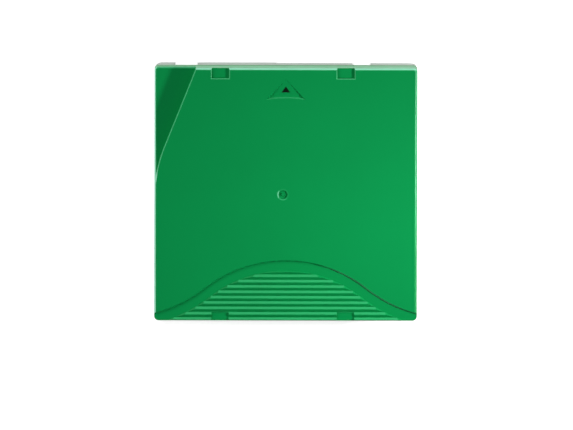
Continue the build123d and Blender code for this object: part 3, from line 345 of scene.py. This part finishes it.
def wound_spring(bm, wire, coil, dead, turns, height, sides=8, steps=20):
    """A compression spring along +Z from z = 0: dead turns at each end, open turns between"""
    bmesh.ops.create_circle(bm, cap_ends=True, segments=sides, radius=wire)
    bmesh.ops.rotate(bm, verts=bm.verts, cent=(0, 0, 0), matrix=Matrix.Rotation(pi / 2, 3, "X"))
    bmesh.ops.translate(bm, verts=bm.verts, vec=(coil, 0, wire))
    ring = bm.verts[:] + bm.edges[:] + bm.faces[:]
    # Dead turns lie 4% of a wire apart, so that they never touch
    dead_rise = dead * 2 * wire * 1.04
    open_rise = height - 2 * wire - 2 * dead_rise
    for count, rise in ((dead, dead_rise), (turns, open_rise), (dead, dead_rise)):
        number = int(steps * count)
        made = bmesh.ops.spin(
            bm, geom=ring, cent=(0, 0, 0), axis=(0, 0, 1), dvec=(0, 0, rise / number),
            angle=2 * pi * count, steps=number, use_merge=False, use_duplicate=False,
        )
        ring = made["geom_last"]
    bmesh.ops.remove_doubles(bm, verts=bm.verts, dist=wire * 0.01)
    bmesh.ops.recalc_face_normals(bm, faces=bm.faces)
    for face in bm.faces:
        face.smooth = len(face.verts) == 4


# Drawn wire is bright, with faint lengthwise die lines
drawn_wire = bright_steel("drawn spring steel wire, bright", DRAWN_STEEL, 0.3, (0.15, 0.6, 0.15))
bm = bmesh.new()
wound_spring(bm, door_wire, door_coil, 2, 20, spring_front - spring_rear)
bmesh.ops.rotate(bm, verts=bm.verts, cent=(0, 0, 0), matrix=Matrix.Rotation(-pi / 2, 3, "X"))
bmesh.ops.translate(bm, verts=bm.verts, vec=(spring_x, spring_rear, spring_z))
bmesh.ops.scale(bm, verts=bm.verts, vec=(mm, mm, mm))
door_return_spring = piece_from(bm, "door_return_spring", drawn_wire, "case")
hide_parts("door_spring")
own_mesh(door_return_spring)

# Hub, lower flange, driven gear and lock ring are one moulding in white glass-filled
# resin, the part of the reel that the drive turns.
HUB_WHITE = "#DCDCD3"
HUB_RUBBED = "#F0F0EA"
# Chalky white, slightly rough where the glass fibres reach the surface
filled_resin = moulded_plastic(
    "white glass-filled resin", HUB_WHITE, HUB_RUBBED, 0.42, grain_mm=0.5, grain_um=6
)
dress(filled_resin, "reel_hub")

# The clutch plate is a ring punched from cold-rolled sheet steel, held by three stakes
# under the hub. A drive's magnet holds the reel by it.
SHEET_STEEL = "#A9ABAD"
# Greyer than the wire, with rolling marks that run one way across it
sheet_steel = bright_steel("cold-rolled sheet steel", SHEET_STEEL, 0.38, (0.15, 4.0, 0.5), 3)
dress(sheet_steel, "clutch_plate")

# The upper flange is a disc of clear polycarbonate, injection moulded and welded on the
# hub to hold the tape's upper edge.
CLEAR_TINT = "#E9EFEA"
# Glassy with a faint tint. Mould marks 0.4 mm apart, coarser than real so that they show
clear_pc, tree = new_finish("clear polycarbonate disc")
place = add_node(tree, "ShaderNodeTexCoord").outputs["Object"]
round_hub = add_node(tree, "ShaderNodeMapping", Vector=place, Location=(-reel_x, 0.0, 0.0))
rings = add_node(
    tree, "ShaderNodeTexWave", {"wave_type": "RINGS", "rings_direction": "Z"},
    Vector=round_hub, Scale=314 / 0.4,
).outputs["Fac"]
bump = add_node(tree, "ShaderNodeBump", Strength=0.2, Distance=2e-6, Height=rings)
clear = add_node(
    tree, "ShaderNodeBsdfPrincipled", Base_Color=linear(CLEAR_TINT), Roughness=0.08, IOR=1.58,
    Transmission_Weight=0.92, Normal=bump,
)
add_node(tree, "ShaderNodeOutputMaterial", Surface=clear)
dress(clear_pc, "upper_flange")

# The tape pack is hundreds of metres of coated polyester tape, wound tight on the hub
# between the two flanges.
TAPE_BROWN = "#231C18"
TAPE_EDGE = "#3A302A"
# Flat dark brown edges with a sheen in rings. A wrap is a few thousandths of a millimetre
# thick: drawn as rings 0.25 mm apart, with broader bands 3.7 mm apart
wound_tape, tree = new_finish("wound magnetic tape")
place = add_node(tree, "ShaderNodeTexCoord").outputs["Object"]
round_hub = add_node(tree, "ShaderNodeMapping", Vector=place, Location=(-reel_x, 0.0, 0.0))
wraps = add_node(
    tree, "ShaderNodeTexWave", {"wave_type": "RINGS", "rings_direction": "Z"},
    Vector=round_hub, Scale=314 / 0.25, Distortion=0.6, Detail=2.0,
).outputs["Fac"]
streaks = add_node(
    tree, "ShaderNodeTexWave", {"wave_type": "RINGS", "rings_direction": "Z"},
    Vector=round_hub, Scale=314 / 3.7, Distortion=1.5, Detail=3.0,
).outputs["Fac"]
pattern = add_node(tree, "ShaderNodeMath", {"operation": "MULTIPLY"}, _0=wraps, _1=streaks)
tone = add_node(
    tree, "ShaderNodeMix", {"data_type": "RGBA"}, _0=pattern, _6=linear(TAPE_BROWN), _7=linear(TAPE_EDGE)
).outputs[2]
gloss = add_node(tree, "ShaderNodeMapRange", Value=pattern, To_Min=0.22, To_Max=0.36)
bump = add_node(tree, "ShaderNodeBump", Strength=0.3, Distance=4e-6, Height=wraps)
pack_skin = add_node(tree, "ShaderNodeBsdfPrincipled", Base_Color=tone, Roughness=gloss, IOR=1.6, Normal=bump)
add_node(tree, "ShaderNodeOutputMaterial", Surface=pack_skin)
dress(wound_tape, "tape_pack")

# The leader is the tape's free end, held on a turned steel pin by a snap-on clip of dark
# acetal. Two leaf springs of rolled strip keep the pin in its seats.
TURNED_STEEL = "#C9CBCD"
CLIP_GREY = "#34373A"
CLIP_RUBBED = "#55595C"
# Coated tape: a glossy brown ribbon with faint waves 3 mm long
leader_film, tree = new_finish("coated polyester tape, glossy")
place = add_node(tree, "ShaderNodeTexCoord").outputs["Object"]
ripple = add_node(tree, "ShaderNodeTexNoise", Vector=place, Scale=1000 / 3.0, Detail=2.0)
tone = add_node(
    tree, "ShaderNodeMix", {"data_type": "RGBA"}, _0=ripple, _6=linear(TAPE_BROWN), _7=linear(TAPE_EDGE)
).outputs[2]
bump = add_node(tree, "ShaderNodeBump", Strength=0.3, Distance=2e-5, Height=ripple)
ribbon = add_node(tree, "ShaderNodeBsdfPrincipled", Base_Color=tone, Roughness=0.16, IOR=1.6, Normal=bump)
add_node(tree, "ShaderNodeOutputMaterial", Surface=ribbon)
dress(leader_film, "leader_tape")
# Turned steel: bright, with tool marks round the pin 0.12 mm apart, coarser than real
turned_steel = bright_steel("turned stainless steel pin", TURNED_STEEL, 0.22, (3.0, 3.0, 0.12))
dress(turned_steel, "leader_pin")
# Acetal: dark, smooth and slightly waxy
dark_acetal = moulded_plastic("dark grey acetal", CLIP_GREY, CLIP_RUBBED, 0.4, grain_um=4)
dress(dark_acetal, "leader_clip")
# Rolled strip: bright, with lines along its length
leaf_steel = bright_steel("rolled spring strip", DRAWN_STEEL, 0.26, (2.0, 2.0, 0.1))
dress(leaf_steel, "pin_spring_lower", "pin_spring_upper")

# The brake button is moulded in natural acetal, with teeth that lock the reel. A coil of
# 0.8 mm spring wire with closed end turns presses it down.
BRAKE_IVORY = "#E6E2D2"
BRAKE_RUBBED = "#F4F2E8"
brake_wire, brake_coil = 0.4, 6.6
brake_low, brake_high = 10.65, 19.45
# Undyed acetal: off-white, smooth and waxy
natural_acetal = moulded_plastic("natural acetal, waxy", BRAKE_IVORY, BRAKE_RUBBED, 0.34, grain_um=3)
dress(natural_acetal, "brake_button")
bm = bmesh.new()
wound_spring(bm, brake_wire, brake_coil, 1, 3, brake_high - brake_low, sides=12, steps=40)
bmesh.ops.translate(bm, verts=bm.verts, vec=(reel_x / mm, 0, brake_low))
bmesh.ops.scale(bm, verts=bm.verts, vec=(mm, mm, mm))
brake_return_spring = piece_from(bm, "brake_return_spring", drawn_wire, "case")
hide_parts("brake_spring")
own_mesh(brake_return_spring)

# The release spider is a three-legged moulding in black acetal that the drive pushes up
# through the hub to lift the brake.
SPIDER_BLACK = "#1E2022"
SPIDER_RUBBED = "#3B3E41"
# Dyed acetal: nearly black, smooth, grey where it has rubbed
black_acetal = moulded_plastic("black acetal", SPIDER_BLACK, SPIDER_RUBBED, 0.38, grain_um=4)
dress(black_acetal, "release_spider")

# The write-protect switch is a small slider moulded in red-orange ABS. It clicks between
# two places behind the rear wall, and is ridged for a fingernail.
SWITCH_RED = "#D2401E"
SWITCH_RUBBED = "#EE8A6A"
# A signal colour, satin, paler on its ridges
red_abs = moulded_plastic("red-orange ABS", SWITCH_RED, SWITCH_RUBBED, 0.4, grain_mm=0.3)
dress(red_abs, "write_protect_switch")

# The contactless memory is a square of glass-epoxy laminate, set at 45 degrees in the
# rear left corner, with a chip under black resin and a flat coil etched round its edge.
LAMINATE_GREEN = "#2F6B45"
THREAD_GREEN = "#3F8257"
COPPER = "#C97B4A"
RESIN_BLACK = "#141516"
RESIN_RUBBED = "#2A2C2E"
track, track_pitch, track_turns, foil = 0.19, 0.33, 5, 0.08
antenna_wide, antenna_long = 10.0, 10.8
# Solder mask: glossy green, the woven glass cloth showing faintly, threads 0.5 mm apart
laminate, tree = new_finish("glass-epoxy laminate with solder mask")
place = add_node(tree, "ShaderNodeTexCoord").outputs["Object"]
turned = add_node(tree, "ShaderNodeMapping", Vector=place, Rotation=(radians(45), 0, 0))
warp = add_node(
    tree, "ShaderNodeTexWave", {"bands_direction": "X"}, Vector=turned, Scale=314 / 0.5
).outputs["Fac"]
weft = add_node(
    tree, "ShaderNodeTexWave", {"bands_direction": "Y"}, Vector=turned, Scale=314 / 0.5
).outputs["Fac"]
cloth = add_node(tree, "ShaderNodeMath", {"operation": "MULTIPLY"}, _0=warp, _1=weft)
tone = add_node(
    tree, "ShaderNodeMix", {"data_type": "RGBA"}, _0=cloth, _6=linear(LAMINATE_GREEN), _7=linear(THREAD_GREEN)
).outputs[2]
bump = add_node(tree, "ShaderNodeBump", Strength=0.2, Distance=5e-6, Height=cloth)
mask = add_node(tree, "ShaderNodeBsdfPrincipled", Base_Color=tone, Roughness=0.3, Normal=bump)
add_node(tree, "ShaderNodeOutputMaterial", Surface=mask)
dress(laminate, "memory_board")
# Potting resin: black and dull
chip_resin = moulded_plastic("black chip resin", RESIN_BLACK, RESIN_RUBBED, 0.45, grain_mm=0.1)
dress(chip_resin, "memory_chip")


def track_corner(run, inset):
    """Where one straight run of the winding meets the next, inset from its outer edge"""
    spot = [0.0, 0.0]
    for leg in (run, run + 1):
        side, half = (1, 1, -1, -1)[leg % 4], (antenna_wide, antenna_long)[leg % 2] / 2
        spot[leg % 2] = side * (half - leg // 4 * track_pitch - inset)
    return Vector((spot[0], spot[1], 0))


# Etched foil: reddish and satin, with an even fine grain
etched_copper = bright_steel("etched copper foil", COPPER, 0.32)
bm = bmesh.new()
start = Vector((antenna_wide / 2, -antenna_long / 2, 0))
edge = bm.edges.new([bm.verts.new(start), bm.verts.new(start - Vector((track, 0, 0)))])
for run in range(4 * track_turns):
    grown = bmesh.ops.extrude_edge_only(bm, edges=[edge])["geom"]
    old = set(edge.verts)
    edge = next(item for item in grown if isinstance(item, bmesh.types.BMEdge) and not set(item.verts) & old)
    outer, inner = sorted(edge.verts, key=lambda vert: -vert.co.length)
    outer.co, inner.co = track_corner(run, 0), track_corner(run, track)
bmesh.ops.solidify(bm, geom=bm.faces[:], thickness=foil)
bmesh.ops.recalc_face_normals(bm, faces=bm.faces)
bmesh.ops.rotate(bm, verts=bm.verts, cent=(0, 0, 0), matrix=Matrix.Rotation(radians(-45), 3, "X"))
bmesh.ops.scale(bm, verts=bm.verts, vec=(mm, mm, mm))
antenna_low, antenna_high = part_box("memory_antenna")
middle = [sum(pick(vert.co[axis] for vert in bm.verts) for pick in (min, max)) / 2 for axis in range(3)]
bmesh.ops.translate(bm, verts=bm.verts, vec=(antenna_low + antenna_high) / 2 - Vector(middle))
antenna_coil = piece_from(bm, "antenna_coil", etched_copper, "case")
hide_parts("memory_antenna")

# Four zinc-plated steel screws close the case from below. Their cross drives were cold
# pressed, and they cut their own threads in the top shell's posts.
ZINC = "#B7BCC1"
# Bright zinc: pale, bluish and satin
zinc_plate = bright_steel("zinc-plated steel", ZINC, 0.33, (0.25, 0.25, 0.25), 3)
dress(zinc_plate, "case_screws")

# The studio is a white table in a pale room, with a soft key lamp low at the right, a
# wide one beyond the front edge and a weak one at the left.
table_glow, room_light = 0.77, 0.08
scene = bpy.context.scene
scene.view_settings.view_transform = "Standard"


def white_to_lenses(tree):
    """1 for the rays that show the background, straight, mirrored or through glass"""
    ray = add_node(tree, "ShaderNodeLightPath").outputs
    two = add_node(
        tree, "ShaderNodeMath", {"operation": "MAXIMUM"}, _0=ray["Is Camera Ray"], _1=ray["Is Glossy Ray"]
    )
    return add_node(tree, "ShaderNodeMath", {"operation": "MAXIMUM"}, _0=two, _1=ray["Is Transmission Ray"])


# Mirrored rays find white walls that darken towards the ceiling
room = bpy.data.worlds.new("pale room")
scene.world = room
room.use_nodes = True
tree = room.node_tree
tree.nodes.clear()
even = add_node(tree, "ShaderNodeBackground", Color=(1, 1, 1, 1), Strength=room_light)
white = add_node(tree, "ShaderNodeBackground", Color=(1, 1, 1, 1), Strength=1.0)
direction = add_node(tree, "ShaderNodeTexCoord").outputs["Generated"]
sky_height = add_node(tree, "ShaderNodeSeparateXYZ", Vector=direction).outputs["Z"]
wall_tone = add_node(
    tree, "ShaderNodeMapRange", {"interpolation_type": "SMOOTHSTEP"}, Value=sky_height,
    From_Min=0.05, From_Max=0.7, To_Min=0.6, To_Max=0.04,
)
walls = add_node(tree, "ShaderNodeBackground", Color=(1, 1, 1, 1), Strength=wall_tone)
mirrored = add_node(tree, "ShaderNodeLightPath").outputs["Is Glossy Ray"]
air = add_node(tree, "ShaderNodeMixShader", _0=white_to_lenses(tree), _1=even, _2=white)
air = add_node(tree, "ShaderNodeMixShader", _0=mirrored, _1=air, _2=walls)
add_node(tree, "ShaderNodeOutputWorld", Surface=air)

laminate_top, tree = new_finish("white table laminate")
own = add_node(tree, "ShaderNodeBsdfDiffuse", Color=(0.8, 0.8, 0.8, 1))
glow = add_node(tree, "ShaderNodeEmission", Color=(1, 1, 1, 1), Strength=table_glow)
dark = add_node(tree, "ShaderNodeEmission", Color=(0, 0, 0, 1), Strength=0.0)
lift = add_node(tree, "ShaderNodeMixShader", _0=white_to_lenses(tree), _1=dark, _2=glow)
both = add_node(tree, "ShaderNodeAddShader", _0=own, _1=lift)
add_node(tree, "ShaderNodeOutputMaterial", Surface=both)

bm = bmesh.new()
bmesh.ops.create_grid(bm, x_segments=1, y_segments=1, size=3.0)
table_shape = bpy.data.meshes.new("table")
bm.to_mesh(table_shape)
bm.free()
table_shape.materials.append(laminate_top)
table = bpy.data.objects.new("table", table_shape)
scene.collection.objects.link(table)

for lamp_name, wide, power, azimuth, height, away, spread, aimed in (
    ("key soft box with a grid", 0.043, 0.146, 0, 30, 0.36, 60, (0.02, -0.015)),
    ("front soft box", 1.2, 42.0, 120, 32, 3.0, 180, (0.0, 0.0)),
    ("side soft box", 0.2, 0.8, 182, 28, 0.6, 180, (0.0, 0.0)),
):
    light = bpy.data.lights.new(lamp_name, "AREA")
    light.shape = "SQUARE"
    light.size = wide
    light.energy = power
    light.spread = radians(spread)
    lamp = bpy.data.objects.new(lamp_name, light)
    side, level = radians(azimuth), radians(height)
    lamp.location = Vector((cos(level) * cos(side), cos(level) * sin(side), sin(level))) * away
    lamp.location.z += top_face
    lamp.rotation_mode = "QUATERNION"
    lamp.rotation_quaternion = (Vector((*aimed, top_face)) - lamp.location).to_track_quat("-Z", "Y")
    scene.collection.objects.link(lamp)

# The camera looks down from almost overhead, far off, with a long lens
tilt, roll = radians(7.0), radians(0.12)
distance, pixels_per_mm, frame_pixels = 8.0, 2.495, 573
right_of_aim, front_of_aim = 0.00033, -0.01076
camera_data = bpy.data.cameras.new("camera")
camera_data.sensor_width = 36.0
camera_data.lens = camera_data.sensor_width * distance / mm * pixels_per_mm / frame_pixels
camera_data.clip_start, camera_data.clip_end = 1.0, 20.0
camera = bpy.data.objects.new("camera", camera_data)
level_right, level_up = Vector((1, 0, 0)), Vector((0, cos(tilt), -sin(tilt)))
back = Vector((0, sin(tilt), cos(tilt)))
right = level_right * cos(roll) + level_up * sin(roll)
up = level_up * cos(roll) - level_right * sin(roll)
aim = level_right * right_of_aim + level_up * front_of_aim + back * top_face
stand = aim + back * distance
camera.matrix_world = Matrix([[right[i], up[i], back[i], stand[i]] for i in range(3)] + [[0, 0, 0, 1]])
scene.collection.objects.link(camera)
scene.camera = camera
